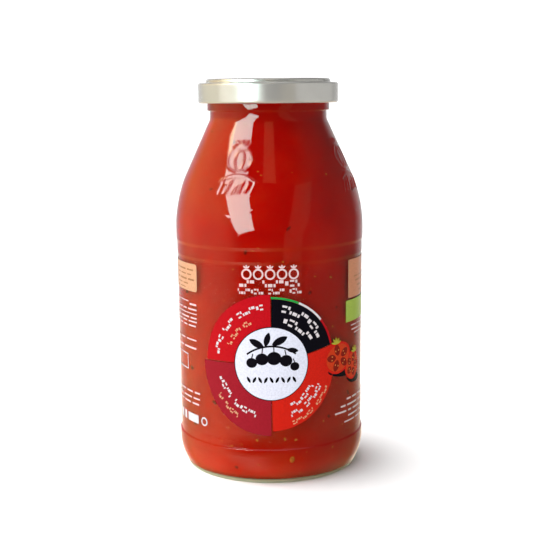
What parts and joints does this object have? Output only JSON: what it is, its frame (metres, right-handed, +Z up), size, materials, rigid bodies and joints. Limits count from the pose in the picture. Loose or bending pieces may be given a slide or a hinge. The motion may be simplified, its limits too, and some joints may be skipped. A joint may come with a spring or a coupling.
{
  "type": "jar of tomato pulp",
  "caption": "Filled glass jar of tomato pulp with rounded shoulder, twist-off steel lid and printed clear label; stands on its foot ring.",
  "frame": {"origin": "middle of the foot ring, on the table", "axes": "+Z up along the jar's axis; the label's front faces -Y; +X to the viewer's right"},
  "size_m": [0.076, 0.076, 0.1567],
  "materials": {
    "glass": "clear, faintly green, glossy",
    "pulp": null,
    "lid_steel": "plain lacquered tinplate, satin",
    "label_print": "clear film with fields of printed colour"
  },
  "bodies": {
    "root": {"glass_jar": "glass", "tomato_pulp": "pulp", "lid": "lid_steel", "label": "label_print"}
  },
  "joints": []
}
